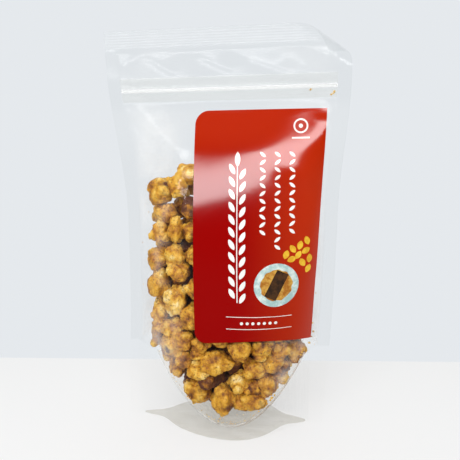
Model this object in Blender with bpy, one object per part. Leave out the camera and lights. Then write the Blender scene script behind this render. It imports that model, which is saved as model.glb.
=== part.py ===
"""Clear stand-up pouch of rice crackers, with a zip, sealed edges, a gusset and a sticker.

Metres, +Z up.  The pouch stands on its foot at z = 0 with its front facing -Y, and the
origin lies under the middle of its bounding box.  The film, the zip and the crackers that
fill it are one solid out to the film's outer face, open underneath where the gusset folds up.
"""

import math

import bmesh
import bpy
from mathutils import Matrix, Vector

# Driving dimensions
HEIGHT = 0.2047
FLAT_HALF_WIDTH = 0.0600      # the empty pouch, from its middle to one edge
FILLED_HALF_WIDTH = 0.0540    # where the contents pull the edges in
WIDE_ABOVE = 0.186            # the edges start to pull in below this height ...
NARROW_BELOW = 0.114          # ... and have pulled in fully by this one
FOOT_LEAN = 0.0035            # the foot stands this far to the left of the top
BELLY_SWAY = 0.0034           # the belly sags this far to the right

SIDE_SEAL = 0.0060            # width of the seals up both sides
SEAL_HALF = 0.00035           # half the thickness where the films are sealed together

CRIMP_LOW = 0.1960            # lower edge of the ribbed top seal
ZIP_LOW, ZIP_HIGH = 0.1706, 0.1820

# Half thickness of the filling at the middle of each height, and how fast it falls off
# towards the side seals: (1 - u^2) to this power, with u from -1 to 1 between the seals
HALF_DEPTH = ((0.000, 0.0210), (0.030, 0.0228), (0.070, 0.0240), (0.108, 0.0212),
              (0.144, 0.0122), (0.162, 0.0052), (0.170, 0.0016), (CRIMP_LOW - 0.0013, 0.0014),
              (CRIMP_LOW, 0.0000), (HEIGHT, 0.0000))
FALL_OFF = ((0.000, 1.50), (0.030, 1.00), (0.062, 0.75), (0.110, 0.80), (0.144, 0.95),
            (0.162, 0.80), (0.170, 0.25), (HEIGHT, 0.25))
FOOT_SKEW = 0.0060            # the foot's deepest point lies this far right of its middle
SKEW_TOP = 0.050              # the skew has gone by this height

# Zip: a welded strip with one thick interlocking ridge
ZIP_RIDGE = 0.1760
ZIP_STRIP_RAISE = 0.00025
ZIP_RIDGE_RAISE = 0.00085
ZIP_RIDGE_HALF = 0.0009
ZIP_SLOPE = 0.0004

# Loose film between the zip and the top seal, which ripples
RIPPLE_DEPTH = 0.0009
RIPPLE_LENGTH = 0.027

# Top seal, crimped between ribbed jaws
CRIMP_RIBS = 7
CRIMP_RELIEF = 0.00015

# Top right corner, rolled back over a slanting line
ROLL_START = Vector((0.0310, 0.0, HEIGHT))
ROLL_END = Vector((FLAT_HALF_WIDTH, 0.0, 0.1840))
ROLL_RADIUS = 0.0060

# Foot: the bottom seal is a curve, and below it the front and back films are a skirt
SEAL_DIP = 0.0088             # height of the curve's lowest point
SEAL_DIP_X = 0.0020
SEAL_RISE = 24.0              # the curve rises by this times the distance squared
SEAL_TOP = 0.0440             # the gusset meets the side seals at this height
SKIRT = 0.0008                # thickness of the skirt
GUSSET_SAG = 0.0100           # how far the gusset sags under the filling, at its middle
GUSSET_REACH = 0.0520         # where the sag has gone, measured along X
GUSSET_ENDS = 0.06            # the open space stops this share of the foot short of its ends
THIN = 0.0002                 # least half width of the open space

# Sticker on the front
LABEL_LEFT = -0.0137
LABEL_RIGHT_TOP = 0.0494      # its right edge, slanting as the belly turns away
LABEL_RIGHT_LOW = 0.0432
LABEL_LOW, LABEL_HIGH = 0.0540, 0.1653
LABEL_ROUND_HIGH = 0.0066     # radius of its top left corner
LABEL_ROUND_LOW = 0.0052      # radius of its bottom left corner
LABEL_GAP = 0.00035
LABEL_THICKNESS = 0.00025

# Mesh steps
COLUMNS = 24                  # between the side seals
LABEL_COLUMNS = 12
GUSSET_STATIONS = 25
WALL_STEPS = 5
GUSSET_STEPS = 8


def smooth(t):
    """Ease from 0 to 1 as t goes from 0 to 1."""
    t = min(max(t, 0.0), 1.0)
    return t * t * (3.0 - 2.0 * t)


def spread(start, end, steps):
    """Even values from start up to, but without, end."""
    return [start + (end - start) * i / steps for i in range(steps)]


def read_curve(stations, z):
    """Value at height z on a smooth curve through (height, value) stations."""
    last = len(stations) - 1
    i = 0
    while i < last - 1 and z > stations[i + 1][0]:
        i += 1
    (z0, v0), (z1, v1) = stations[i], stations[i + 1]
    before, after = stations[max(i - 1, 0)], stations[min(i + 2, last)]
    slope0 = (v1 - before[1]) / (z1 - before[0])
    slope1 = (after[1] - v0) / (after[0] - z0)
    span = z1 - z0
    t = (z - z0) / span
    return ((2 * t**3 - 3 * t**2 + 1) * v0 + (t**3 - 2 * t**2 + t) * span * slope0
            + (3 * t**2 - 2 * t**3) * v1 + (t**3 - t**2) * span * slope1)


def centre_line(z):
    """X of the middle between the two edges."""
    return FOOT_LEAN * (z / HEIGHT - 1.0) + BELLY_SWAY * math.sin(math.pi * z / HEIGHT)


def half_width(z):
    pulled_in = smooth((WIDE_ABOVE - z) / (WIDE_ABOVE - NARROW_BELOW))
    return FLAT_HALF_WIDTH - (FLAT_HALF_WIDTH - FILLED_HALF_WIDTH) * pulled_in


def inner_edges(z):
    """X of the left and right side seals' inner edges."""
    reach = half_width(z) - SIDE_SEAL
    return centre_line(z) - reach, centre_line(z) + reach


def half_depth(x, z):
    """Distance of the front or back film from the pouch's middle plane."""
    left, right = inner_edges(z)
    if not left < x < right:
        return SEAL_HALF
    deepest = (left + right) / 2 + FOOT_SKEW * (1.0 - smooth(z / SKEW_TOP))
    u = (x - deepest) / (deepest - left if x < deepest else right - deepest)
    depth = max(read_curve(HALF_DEPTH, z), 0.0)
    return SEAL_HALF + depth * (1.0 - u * u) ** read_curve(FALL_OFF, z)


def zip_raise(z):
    """Height of the zip's relief over the film."""
    strip = smooth((z - ZIP_LOW) / ZIP_SLOPE) * smooth((ZIP_HIGH - z) / ZIP_SLOPE)
    ridge = smooth((ZIP_RIDGE_HALF + ZIP_SLOPE - abs(z - ZIP_RIDGE)) / ZIP_SLOPE)
    return ZIP_STRIP_RAISE * strip + ZIP_RIDGE_RAISE * ridge


def ripple(x, z):
    """Waves in the loose film between the zip and the top seal."""
    if not ZIP_HIGH < z < CRIMP_LOW:
        return 0.0
    rise = math.sin(math.pi * (z - ZIP_HIGH) / (CRIMP_LOW - ZIP_HIGH))
    slant = x + 0.6 * (z - ZIP_HIGH)
    return RIPPLE_DEPTH * rise * math.sin(2 * math.pi * slant / RIPPLE_LENGTH)


def crimp(z):
    """In-and-out of the ribs pressed into the top seal."""
    pitch = (HEIGHT - CRIMP_LOW) / CRIMP_RIBS
    phase = (z - CRIMP_LOW) / pitch
    return CRIMP_RELIEF * math.cos(2 * math.pi * phase) if z > CRIMP_LOW else 0.0


def front_y(x, z):
    left, right = inner_edges(z)
    raised = zip_raise(z) if left < x < right else 0.0
    return -half_depth(x, z) - raised + ripple(x, z) + crimp(z)


def back_y(x, z):
    left, right = inner_edges(z)
    raised = zip_raise(z) if left < x < right else 0.0
    return half_depth(x, z) + raised + ripple(x, z) + crimp(z)


def roll_back(point):
    """Roll what lies past the corner's slanting line backwards, as round a rod behind it."""
    line = (ROLL_END - ROLL_START).normalized()
    across = Vector((-line.z, 0.0, line.x))
    past = (point - ROLL_START).dot(across)
    if past <= 0.0:
        return point
    angle = past / ROLL_RADIUS
    radius = ROLL_RADIUS - point.y
    rolled = point + across * (radius * math.sin(angle) - past)
    rolled.y = ROLL_RADIUS - radius * math.cos(angle)
    return rolled


def columns(z):
    """X of each column of points: across the side seals and closer near their edges."""
    left, right = inner_edges(z)
    middle, reach = (left + right) / 2, (right - left) / 2
    inner = []
    for i in range(COLUMNS + 1):
        t = 2.0 * i / COLUMNS - 1.0
        u = 0.6 * math.sin(math.pi / 2 * t) + 0.4 * t
        inner.append(middle + reach * u)
    outer = half_width(z)
    return [centre_line(z) - outer, *inner, centre_line(z) + outer]


def loft(name, rings, flat_ends=False):
    """Closed mesh through rings of equal count, each a front row then a back row reversed.

    Each end is one flat face, or a strip from the front row to the back row.
    """
    count = len(rings[0])
    verts = [point for ring in rings for point in ring]
    faces = []
    for r in range(len(rings) - 1):
        for i in range(count):
            j = (i + 1) % count
            faces.append((r * count + i, r * count + j, (r + 1) * count + j, (r + 1) * count + i))
    for start in (0, (len(rings) - 1) * count):
        end = start + count - 1
        if flat_ends:
            faces.append(tuple(range(start, end + 1)))
        else:
            faces.extend((start + i, start + i + 1, end - 1 - i, end - i)
                         for i in range(count // 2 - 1))
    mesh = bpy.data.meshes.new(name)
    mesh.from_pydata([tuple(point) for point in verts], [], faces)
    shape = bmesh.new()
    shape.from_mesh(mesh)
    bmesh.ops.recalc_face_normals(shape, faces=shape.faces)
    shape.to_mesh(mesh)
    shape.free()
    return bpy.data.objects.new(name, mesh)


def finish(obj, collection, material):
    collection.objects.link(obj)
    obj.data.materials.append(material)
    obj.data.shade_smooth()
    obj.data.set_sharp_from_angle(angle=math.radians(50))


def principled(name, colour, roughness):
    material = bpy.data.materials.new(name)
    material.use_nodes = True
    shader = material.node_tree.nodes["Principled BSDF"]
    shader.inputs["Base Color"].default_value = (*colour, 1.0)
    shader.inputs["Roughness"].default_value = roughness
    shader.inputs["Metallic"].default_value = 0.0
    return material


def pouch_rows():
    """Heights of the pouch's rows of points, closer where it has relief."""
    ridge_out = ZIP_RIDGE_HALF + ZIP_SLOPE
    zip_rows = [ZIP_LOW, ZIP_LOW + ZIP_SLOPE, ZIP_RIDGE - ridge_out, ZIP_RIDGE - ZIP_RIDGE_HALF,
                ZIP_RIDGE + ZIP_RIDGE_HALF, ZIP_RIDGE + ridge_out, ZIP_HIGH - ZIP_SLOPE, ZIP_HIGH]
    foot = spread(0.0, SEAL_TOP, 8)
    belly = spread(SEAL_TOP, 0.160, 14)
    shoulder = spread(0.160, ZIP_LOW, 3)
    loose = spread(ZIP_HIGH, CRIMP_LOW, 4)[1:]
    ribs = spread(CRIMP_LOW, HEIGHT, 2 * CRIMP_RIBS)
    return [*foot, *belly, *shoulder, *zip_rows, *loose, *ribs, HEIGHT]


def make_pouch(collection, material):
    rings = []
    for z in pouch_rows():
        xs = columns(z)
        front = [Vector((x, front_y(x, z), z)) for x in xs]
        back = [Vector((x, back_y(x, z), z)) for x in reversed(xs)]
        rings.append([roll_back(point) for point in front + back])
    pouch = loft("pouch", rings)
    finish(pouch, collection, material)
    return pouch


def bottom_seal(x):
    """Height of the curved seal that joins the gusset to the front and back films."""
    return min(SEAL_DIP + SEAL_RISE * (x - SEAL_DIP_X) ** 2, SEAL_TOP)


def make_gusset_cutter(collection):
    """The open space under the gusset, between the front and back skirts."""
    left, right = inner_edges(0.0)
    spare = (right - left) * GUSSET_ENDS
    low = -0.002
    rings = []
    for x in (*spread(left + spare, right - spare, GUSSET_STATIONS - 1), right - spare):
        seal = bottom_seal(x)
        wall = [(max(half_depth(x, seal * k / WALL_STEPS) - SKIRT, THIN), seal * k / WALL_STEPS)
                for k in range(WALL_STEPS + 1)]
        edge = wall[-1][0]
        sag = GUSSET_SAG * (1.0 - ((x - SEAL_DIP_X) / GUSSET_REACH) ** 2)
        across = []
        for k in range(1, GUSSET_STEPS):
            share = 1.0 - k / GUSSET_STEPS
            across.append((edge * share, seal - sag * (1.0 - share**2)))
        half = [(wall[0][0], low)] + [(y, max(z, low / 2)) for y, z in wall + across]
        front = [Vector((x, -y, z)) for y, z in half]
        back = [Vector((x, -point.y, point.z)) for point in reversed(front)]
        rings.append(front + back)
    cutter = loft("gusset_cutter", rings, flat_ends=True)
    collection.objects.link(cutter)
    cutter.hide_render = True
    cutter.display_type = "WIRE"
    return cutter


def label_left(z):
    """X of the label's left edge, with its two rounded corners."""
    rise = max(LABEL_LOW + LABEL_ROUND_LOW - z, 0.0)
    if rise > 0.0:
        return LABEL_LEFT + LABEL_ROUND_LOW - math.sqrt(max(LABEL_ROUND_LOW**2 - rise**2, 0.0))
    rise = max(z - LABEL_HIGH + LABEL_ROUND_HIGH, 0.0)
    return LABEL_LEFT + LABEL_ROUND_HIGH - math.sqrt(max(LABEL_ROUND_HIGH**2 - rise**2, 0.0))


def label_rows():
    """Heights of the label's rows, following the arcs of its rounded corners."""
    arc = [math.sin(math.radians(angle)) for angle in (90, 72, 54, 36, 18)]
    low = [LABEL_LOW + LABEL_ROUND_LOW * (1.0 - s) for s in arc]
    straight = spread(LABEL_LOW + LABEL_ROUND_LOW, LABEL_HIGH - LABEL_ROUND_HIGH, 13)
    high = [LABEL_HIGH - LABEL_ROUND_HIGH * (1.0 - s) for s in reversed(arc)]
    return [*low, *straight, LABEL_HIGH - LABEL_ROUND_HIGH, *high]


def make_label(collection, material):
    rings = []
    for z in label_rows():
        up = (z - LABEL_LOW) / (LABEL_HIGH - LABEL_LOW)
        left = label_left(z)
        right = LABEL_RIGHT_LOW + (LABEL_RIGHT_TOP - LABEL_RIGHT_LOW) * up
        xs = [left + (right - left) * i / LABEL_COLUMNS for i in range(LABEL_COLUMNS + 1)]
        inner = [-half_depth(x, z) - LABEL_GAP for x in xs]
        front = [Vector((x, y - LABEL_THICKNESS, z)) for x, y in zip(xs, inner)]
        back = [Vector((x, y, z)) for x, y in zip(reversed(xs), reversed(inner))]
        rings.append(front + back)
    label = loft("label", rings)
    finish(label, collection, material)
    return label


def cut(obj, cutter):
    hollow = obj.modifiers.new("gusset", "BOOLEAN")
    hollow.operation = "DIFFERENCE"
    hollow.solver = "EXACT"
    hollow.object = cutter


def stand_on_origin(parts, cutters):
    """Move everything so that the origin is under the middle of the parts' box."""
    points = [v.co for obj in parts for v in obj.data.vertices]
    middle = [(min(p[k] for p in points) + max(p[k] for p in points)) / 2 for k in (0, 1)]
    for obj in (*parts, *cutters):
        obj.data.transform(Matrix.Translation((-middle[0], -middle[1], 0.0)))


def build():
    for obj in list(bpy.data.objects):
        bpy.data.objects.remove(obj, do_unlink=True)
    parts = bpy.data.collections.new("cracker_pouch")
    cutters = bpy.data.collections.new("cutters")
    for collection in (parts, cutters):
        bpy.context.scene.collection.children.link(collection)

    film = principled("clear_film", (0.84, 0.66, 0.40), 0.15)
    sticker = principled("red_sticker", (0.47, 0.012, 0.004), 0.25)
    pouch = make_pouch(parts, film)
    label = make_label(parts, sticker)
    cutter = make_gusset_cutter(cutters)
    cut(pouch, cutter)
    stand_on_origin((pouch, label), (cutter,))


build()
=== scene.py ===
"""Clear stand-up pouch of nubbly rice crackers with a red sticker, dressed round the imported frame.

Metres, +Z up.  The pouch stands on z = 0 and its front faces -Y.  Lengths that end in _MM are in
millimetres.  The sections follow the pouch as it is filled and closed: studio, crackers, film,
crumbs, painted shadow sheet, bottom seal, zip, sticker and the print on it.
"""

import math
import random

import bpy
import numpy as np
from mathutils import Matrix, Vector
from mathutils.bvhtree import BVHTree


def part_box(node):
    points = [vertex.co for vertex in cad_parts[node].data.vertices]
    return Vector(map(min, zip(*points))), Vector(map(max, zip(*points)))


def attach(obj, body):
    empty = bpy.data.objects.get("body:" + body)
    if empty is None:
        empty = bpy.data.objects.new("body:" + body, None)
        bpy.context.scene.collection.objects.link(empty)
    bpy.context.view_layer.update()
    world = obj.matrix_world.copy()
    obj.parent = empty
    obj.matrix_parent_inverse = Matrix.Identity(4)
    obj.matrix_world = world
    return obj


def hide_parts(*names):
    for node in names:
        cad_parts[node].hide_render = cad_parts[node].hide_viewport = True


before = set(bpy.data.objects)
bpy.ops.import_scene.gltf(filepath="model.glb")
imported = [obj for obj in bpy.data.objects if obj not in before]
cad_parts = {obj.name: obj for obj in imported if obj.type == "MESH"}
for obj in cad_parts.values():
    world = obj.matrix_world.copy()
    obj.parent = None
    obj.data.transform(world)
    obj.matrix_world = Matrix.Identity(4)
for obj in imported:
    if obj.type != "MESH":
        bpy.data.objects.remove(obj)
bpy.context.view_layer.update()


# ---- Studio -----------------------------------------------------------------------------------
# The pouch stands on a white table in front of a pale grey wall.  A long strip light stands in
# front of it, a large soft light hangs over it, and the room behind and above is bright.
CAMERA_PLACE = Vector((0.0278, -0.2220, 0.1452))
CAMERA_TURN, CAMERA_DOWN, CAMERA_ROLL = 6.8, 10.0, -0.86
CAMERA_LENS, CAMERA_SENSOR = 34.43, 36.0
TABLE_SIZE = 4.0
TABLE_END = 0.0682            # the wall starts this far behind the pouch's middle
TABLE_END_TURN = 3.75         # and runs at this angle to the pouch's front
TABLE_COLOUR = (0.86, 0.86, 0.86, 1.0)
TABLE_GLOW, GLOW_SHARE = (0.90, 0.90, 0.895, 1.0), 0.60
WALL_COLOUR = (0.785, 0.815, 0.845, 1.0)
AIM = Vector((0.010, -0.010, 0.130))
ROOM_FRONT, ROOM_BACK = (0.03, 0.03, 0.03, 1.0), (0.62, 0.64, 0.66, 1.0)


def new_material(name):
    material = bpy.data.materials.new(name)
    material.use_nodes = True
    material.node_tree.nodes.clear()
    return material


def add_node(tree, kind, inputs=None, **settings):
    """A new shader node, with values for its sockets, or links from other sockets."""
    made = tree.nodes.new(kind)
    for key, value in settings.items():
        setattr(made, key, value)
    for key, value in (inputs or {}).items():
        if isinstance(value, bpy.types.NodeSocket):
            tree.links.new(value, made.inputs[key])
        else:
            made.inputs[key].default_value = value
    return made


def maths(tree, operation, first, second=0.0, clamp=False):
    made = add_node(tree, "ShaderNodeMath", {0: first, 1: second}, operation=operation,
                    use_clamp=clamp)
    return made.outputs[0]


def ease(tree, value, low, high):
    """0 where value is below low, 1 where it is above high, and smooth between them."""
    made = add_node(tree, "ShaderNodeMapRange",
                    {"Value": value, "From Min": low, "From Max": high},
                    interpolation_type="SMOOTHSTEP")
    return made.outputs["Result"]


def mix_colour(tree, share, first, second, blend_type="MIX"):
    made = add_node(tree, "ShaderNodeMix", data_type="RGBA", blend_type=blend_type)
    for index, value in ((0, share), (6, first), (7, second)):
        if isinstance(value, bpy.types.NodeSocket):
            tree.links.new(value, made.inputs[index])
        else:
            made.inputs[index].default_value = value
    return made.outputs[2]


def finish_material(tree, surface):
    add_node(tree, "ShaderNodeOutputMaterial", {"Surface": surface})


camera_data = bpy.data.cameras.new("camera")
camera_data.lens, camera_data.sensor_width = CAMERA_LENS, CAMERA_SENSOR
camera_data.clip_start, camera_data.clip_end = 0.01, 20.0
camera = bpy.data.objects.new("camera", camera_data)
bpy.context.scene.collection.objects.link(camera)
bpy.context.scene.camera = camera
camera.matrix_world = (Matrix.Translation(CAMERA_PLACE)
                       @ Matrix.Rotation(math.radians(CAMERA_TURN), 4, "Z")
                       @ Matrix.Rotation(math.radians(90.0 - CAMERA_DOWN), 4, "X")
                       @ Matrix.Rotation(math.radians(CAMERA_ROLL), 4, "Z"))
bpy.context.scene.view_settings.view_transform = "Standard"

bpy.ops.object.select_all(action="DESELECT")
bpy.ops.mesh.primitive_plane_add(size=TABLE_SIZE)
table = bpy.context.object
table.name = "table"
table.visible_glossy = False
table_finish = new_material("table_and_wall")
tree = table_finish.node_tree
place = add_node(tree, "ShaderNodeTexCoord").outputs["Object"]
turned = add_node(tree, "ShaderNodeMapping",
                  {"Vector": place, "Rotation": (0.0, 0.0, math.radians(-TABLE_END_TURN))})
behind = add_node(tree, "ShaderNodeSeparateXYZ", {0: turned.outputs[0]}).outputs["Y"]
matt = add_node(tree, "ShaderNodeBsdfDiffuse", {"Color": TABLE_COLOUR})
glow = add_node(tree, "ShaderNodeEmission", {"Color": TABLE_GLOW, "Strength": 1.0})
board = add_node(tree, "ShaderNodeMixShader",
                 {0: GLOW_SHARE, 1: matt.outputs[0], 2: glow.outputs[0]})
wall = add_node(tree, "ShaderNodeEmission", {"Color": WALL_COLOUR, "Strength": 1.0})
surface = add_node(tree, "ShaderNodeMixShader",
                   {0: ease(tree, behind, TABLE_END - 0.001, TABLE_END + 0.001),
                    1: board.outputs[0], 2: wall.outputs[0]})
finish_material(tree, surface.outputs[0])
table.data.materials.append(table_finish)


def studio_light(name, width, height, power, turn, rise, distance, roll=0.0, glossy=True):
    """A rectangular light that faces the pouch, seen from it at this turn and rise (degrees)."""
    data = bpy.data.lights.new(name, "AREA")
    data.shape, data.size, data.size_y, data.energy = "RECTANGLE", width, height, power
    light = bpy.data.objects.new(name, data)
    bpy.context.scene.collection.objects.link(light)
    turn, rise = math.radians(turn), math.radians(rise)
    away = Vector((math.sin(turn) * math.cos(rise), -math.cos(turn) * math.cos(rise),
                   math.sin(rise)))
    light.matrix_world = (Matrix.Translation(AIM + away * distance)
                          @ away.to_track_quat("Z", "Y").to_matrix().to_4x4()
                          @ Matrix.Rotation(math.radians(roll), 4, "Z"))
    light.visible_glossy = glossy
    light.visible_camera = False


studio_light("strip", 1.00, 0.112, 3.8, -2.7, 27.6, 0.60, roll=6.4)
studio_light("overhead", 0.70, 0.70, 4.0, -10.0, 62.0, 0.90, glossy=False)

world = bpy.data.worlds.new("room")
bpy.context.scene.world = world
world.use_nodes = True
tree = world.node_tree
tree.nodes.clear()
towards = add_node(tree, "ShaderNodeSeparateXYZ",
                   {0: add_node(tree, "ShaderNodeTexCoord").outputs["Generated"]})
bright = maths(tree, "MAXIMUM", ease(tree, towards.outputs["Y"], -0.45, 0.30),
               ease(tree, towards.outputs["Z"], 0.84, 0.98))
room = add_node(tree, "ShaderNodeBackground",
                {"Color": mix_colour(tree, bright, ROOM_FRONT, ROOM_BACK), "Strength": 1.0})
far_wall = add_node(tree, "ShaderNodeBackground", {"Color": WALL_COLOUR, "Strength": 1.0})
seen = add_node(tree, "ShaderNodeMixShader",
                {0: add_node(tree, "ShaderNodeLightPath").outputs["Is Camera Ray"],
                 1: room.outputs[0], 2: far_wall.outputs[0]})
add_node(tree, "ShaderNodeOutputWorld", {"Surface": seen.outputs[0]})


# ---- Crackers ---------------------------------------------------------------------------------
# Puffed pounded rice, deep fried and tossed in sweet soy: lumps of several swollen lobes with a
# rough skin, pale on the bulges and dark in the creases.  They lie loose in the pouch, those in
# front pressed against the film, so the room inside the pouch is worked out here first.
pouch_low, pouch_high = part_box("pouch")
HEIGHT = pouch_high.z
MIDDLE_X, MIDDLE_Y = -0.00036, 0.00031       # the flat pouch's own middle, in the frame
FLAT_HALF_WIDTH, FILLED_HALF_WIDTH = 0.0600, 0.0540
WIDE_ABOVE, NARROW_BELOW = 0.186, 0.114
FOOT_LEAN, BELLY_SWAY = 0.0035, 0.0034
SIDE_SEAL = 0.0060
SEAL_HALF = 0.00035
CRIMP_LOW = 0.1960
HALF_DEPTH = ((0.000, 0.0210), (0.030, 0.0228), (0.070, 0.0240), (0.108, 0.0212),
              (0.144, 0.0122), (0.162, 0.0052), (0.170, 0.0016), (CRIMP_LOW - 0.0013, 0.0014),
              (CRIMP_LOW, 0.0000), (HEIGHT, 0.0000))
FALL_OFF = ((0.000, 1.50), (0.030, 1.00), (0.062, 0.75), (0.110, 0.80), (0.144, 0.95),
            (0.162, 0.80), (0.170, 0.25), (HEIGHT, 0.25))
FOOT_SKEW, SKEW_TOP = 0.0060, 0.050
SEAL_DIP, SEAL_DIP_X, SEAL_RISE, SEAL_TOP = 0.0088, 0.0020 + MIDDLE_X, 24.0, 0.0440
GUSSET_SAG, GUSSET_REACH = 0.0100, 0.0520

LUMP_KINDS = 8                # shapes modelled, then copied and turned
LUMP_CORE = 0.80              # radius of a lump's body; its lobes stand out of it
FRONT_LUMP_FACES, FREE_LUMP_FACES = 4200, 900
FREE_CRACKERS = 172
CRACKER_RADIUS = (0.0056, 0.0072)
LUMP_SHARE = 0.93             # lumps interlock, so they lie closer than balls of their radius
SETTLING_STEPS = 420
FILM_CLEARANCE = 0.0003
HEAP_TOP = 0.132
HEAP_LEFT, HEAP_RIGHT = -0.0415, 0.0405

# The crackers that lie against the front film, in millimetres: middle (x, z), width, height,
# distance behind the film, and shade from 0 (pale) to 1 (dark with soy)
FRONT_CRACKERS_MM = (
    (-18.7, 135, 13, 11, 0.0, 0.40), (-23.5, 129, 12, 13, 0.0, 0.45),
    (-34.0, 126, 14, 16, 0.0, 0.35), (-15.5, 118, 13, 12, 1.0, 0.95),
    (-30.0, 115, 12, 11, 3.0, 0.50), (-34.4, 105, 12, 14, 0.5, 0.45),
    (-24.2, 107, 10, 15, 0.0, 0.50), (-15.0, 107, 11, 11, 1.5, 0.60),
    (-36.5, 91, 13, 13, 0.0, 0.45), (-25.5, 95, 12, 12, 0.0, 0.35),
    (-23.3, 86, 12, 10, 0.0, 0.45), (-14.8, 95, 10, 11, 1.0, 0.50),
    (-36.5, 77, 13, 17, 0.0, 0.45), (-25.5, 71, 13, 18, 0.0, 0.25),
    (-14.5, 79, 11, 12, 1.0, 0.55), (-35.8, 62, 10, 13, 1.0, 0.35),
    (-29.5, 55, 11, 12, 0.0, 0.40), (-38.0, 48, 11, 15, 2.0, 0.50),
    (-16.5, 64, 12, 14, 0.0, 0.50), (-23.9, 58, 9, 9, 4.0, 0.40),
    (-21.9, 50, 12, 12, 0.0, 0.45), (-30.8, 43, 11, 12, 3.0, 0.55),
    (-12.5, 50, 10, 10, 1.0, 0.60), (-32.0, 36, 10, 12, 3.0, 0.60),
    (-22.3, 39, 11, 11, 2.0, 0.60), (-14.6, 45, 8, 8, 1.0, 0.60),
    (-27.0, 28, 11, 12, 3.0, 0.65), (-5.9, 40, 18, 13, 0.0, 0.50),
    (7.5, 49, 13, 15, 0.0, 0.50), (18.0, 48, 13, 12, 0.0, 0.65),
    (15.0, 37, 14, 12, 0.0, 0.60), (27.3, 46, 12, 13, 1.0, 0.65),
    (35.0, 42, 12, 15, 1.0, 0.50), (27.5, 35, 12, 11, 2.0, 0.65),
    (-14.2, 35, 12, 10, 0.0, 0.20), (-15.4, 21, 15, 18, 0.0, 0.55),
    (-9.5, 30, 9, 9, 1.5, 1.00), (6.5, 28, 12, 12, 4.0, 0.30),
    (-2.0, 19, 15, 17, 0.0, 0.50), (11.6, 17, 18, 12, 0.0, 0.50),
    (20.8, 27, 11, 15, 0.0, 0.60), (13.8, 26, 11, 10, 3.0, 0.85),
)


def smooth(t):
    """Ease from 0 to 1 as t goes from 0 to 1."""
    t = np.clip(t, 0.0, 1.0)
    return t * t * (3.0 - 2.0 * t)


def curve_through(stations):
    """Heights and values of a smooth curve through (height, value) stations."""
    heights = np.linspace(stations[0][0], stations[-1][0], 821)
    last = len(stations) - 1
    values = []
    for z in heights:
        i = 0
        while i < last - 1 and z > stations[i + 1][0]:
            i += 1
        (z0, v0), (z1, v1) = stations[i], stations[i + 1]
        before, after = stations[max(i - 1, 0)], stations[min(i + 2, last)]
        slope0 = (v1 - before[1]) / (z1 - before[0])
        slope1 = (after[1] - v0) / (after[0] - z0)
        span = z1 - z0
        t = (z - z0) / span
        values.append((2 * t**3 - 3 * t**2 + 1) * v0 + (t**3 - 2 * t**2 + t) * span * slope0
                      + (3 * t**2 - 2 * t**3) * v1 + (t**3 - t**2) * span * slope1)
    return heights, np.array(values)


depth_curve, fall_off_curve = curve_through(HALF_DEPTH), curve_through(FALL_OFF)


def centre_line(z):
    """X of the middle between the pouch's two edges."""
    return MIDDLE_X + FOOT_LEAN * (z / HEIGHT - 1.0) + BELLY_SWAY * np.sin(math.pi * z / HEIGHT)


def half_width(z):
    pulled_in = smooth((WIDE_ABOVE - z) / (WIDE_ABOVE - NARROW_BELOW))
    return FLAT_HALF_WIDTH - (FLAT_HALF_WIDTH - FILLED_HALF_WIDTH) * pulled_in


def inner_edges(z):
    """X of the left and right side seals' inner edges."""
    reach = half_width(z) - SIDE_SEAL
    return centre_line(z) - reach, centre_line(z) + reach


def half_depth(x, z):
    """Distance of the front or back film from the pouch's middle plane."""
    left, right = inner_edges(z)
    deepest = (left + right) / 2 + FOOT_SKEW * (1.0 - smooth(z / SKEW_TOP))
    u = np.clip(np.where(x < deepest, (deepest - x) / (deepest - left),
                         (x - deepest) / (right - deepest)), 0.0, 1.0)
    depth = np.maximum(np.interp(z, *depth_curve), 0.0)
    return SEAL_HALF + depth * (1.0 - u * u) ** np.interp(z, *fall_off_curve)


def bottom_seal(x):
    """Height of the curved seal that joins the gusset to the front and back films."""
    return np.minimum(SEAL_DIP + SEAL_RISE * (x - SEAL_DIP_X) ** 2, SEAL_TOP)


def gusset_sag(x):
    return GUSSET_SAG * (1.0 - ((x - SEAL_DIP_X) / GUSSET_REACH) ** 2)


def gusset_height(x, y):
    """Height of the sagging gusset that the crackers lie on."""
    seal = bottom_seal(x)
    across = np.clip(np.abs(y - MIDDLE_Y) / half_depth(x, seal), 0.0, 1.0)
    return np.maximum(seal - np.maximum(gusset_sag(x), 0.0) * (1.0 - across**2), 0.0)


def film_slope(x, z):
    """How much further the film is measured along Y than square to it."""
    step = 0.001
    along = (half_depth(x + step, z) - half_depth(x - step, z)) / (2 * step)
    up = (half_depth(x, z + step) - half_depth(x, z - step)) / (2 * step)
    return np.sqrt(1.0 + np.minimum(along**2 + up**2, 9.0))


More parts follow.
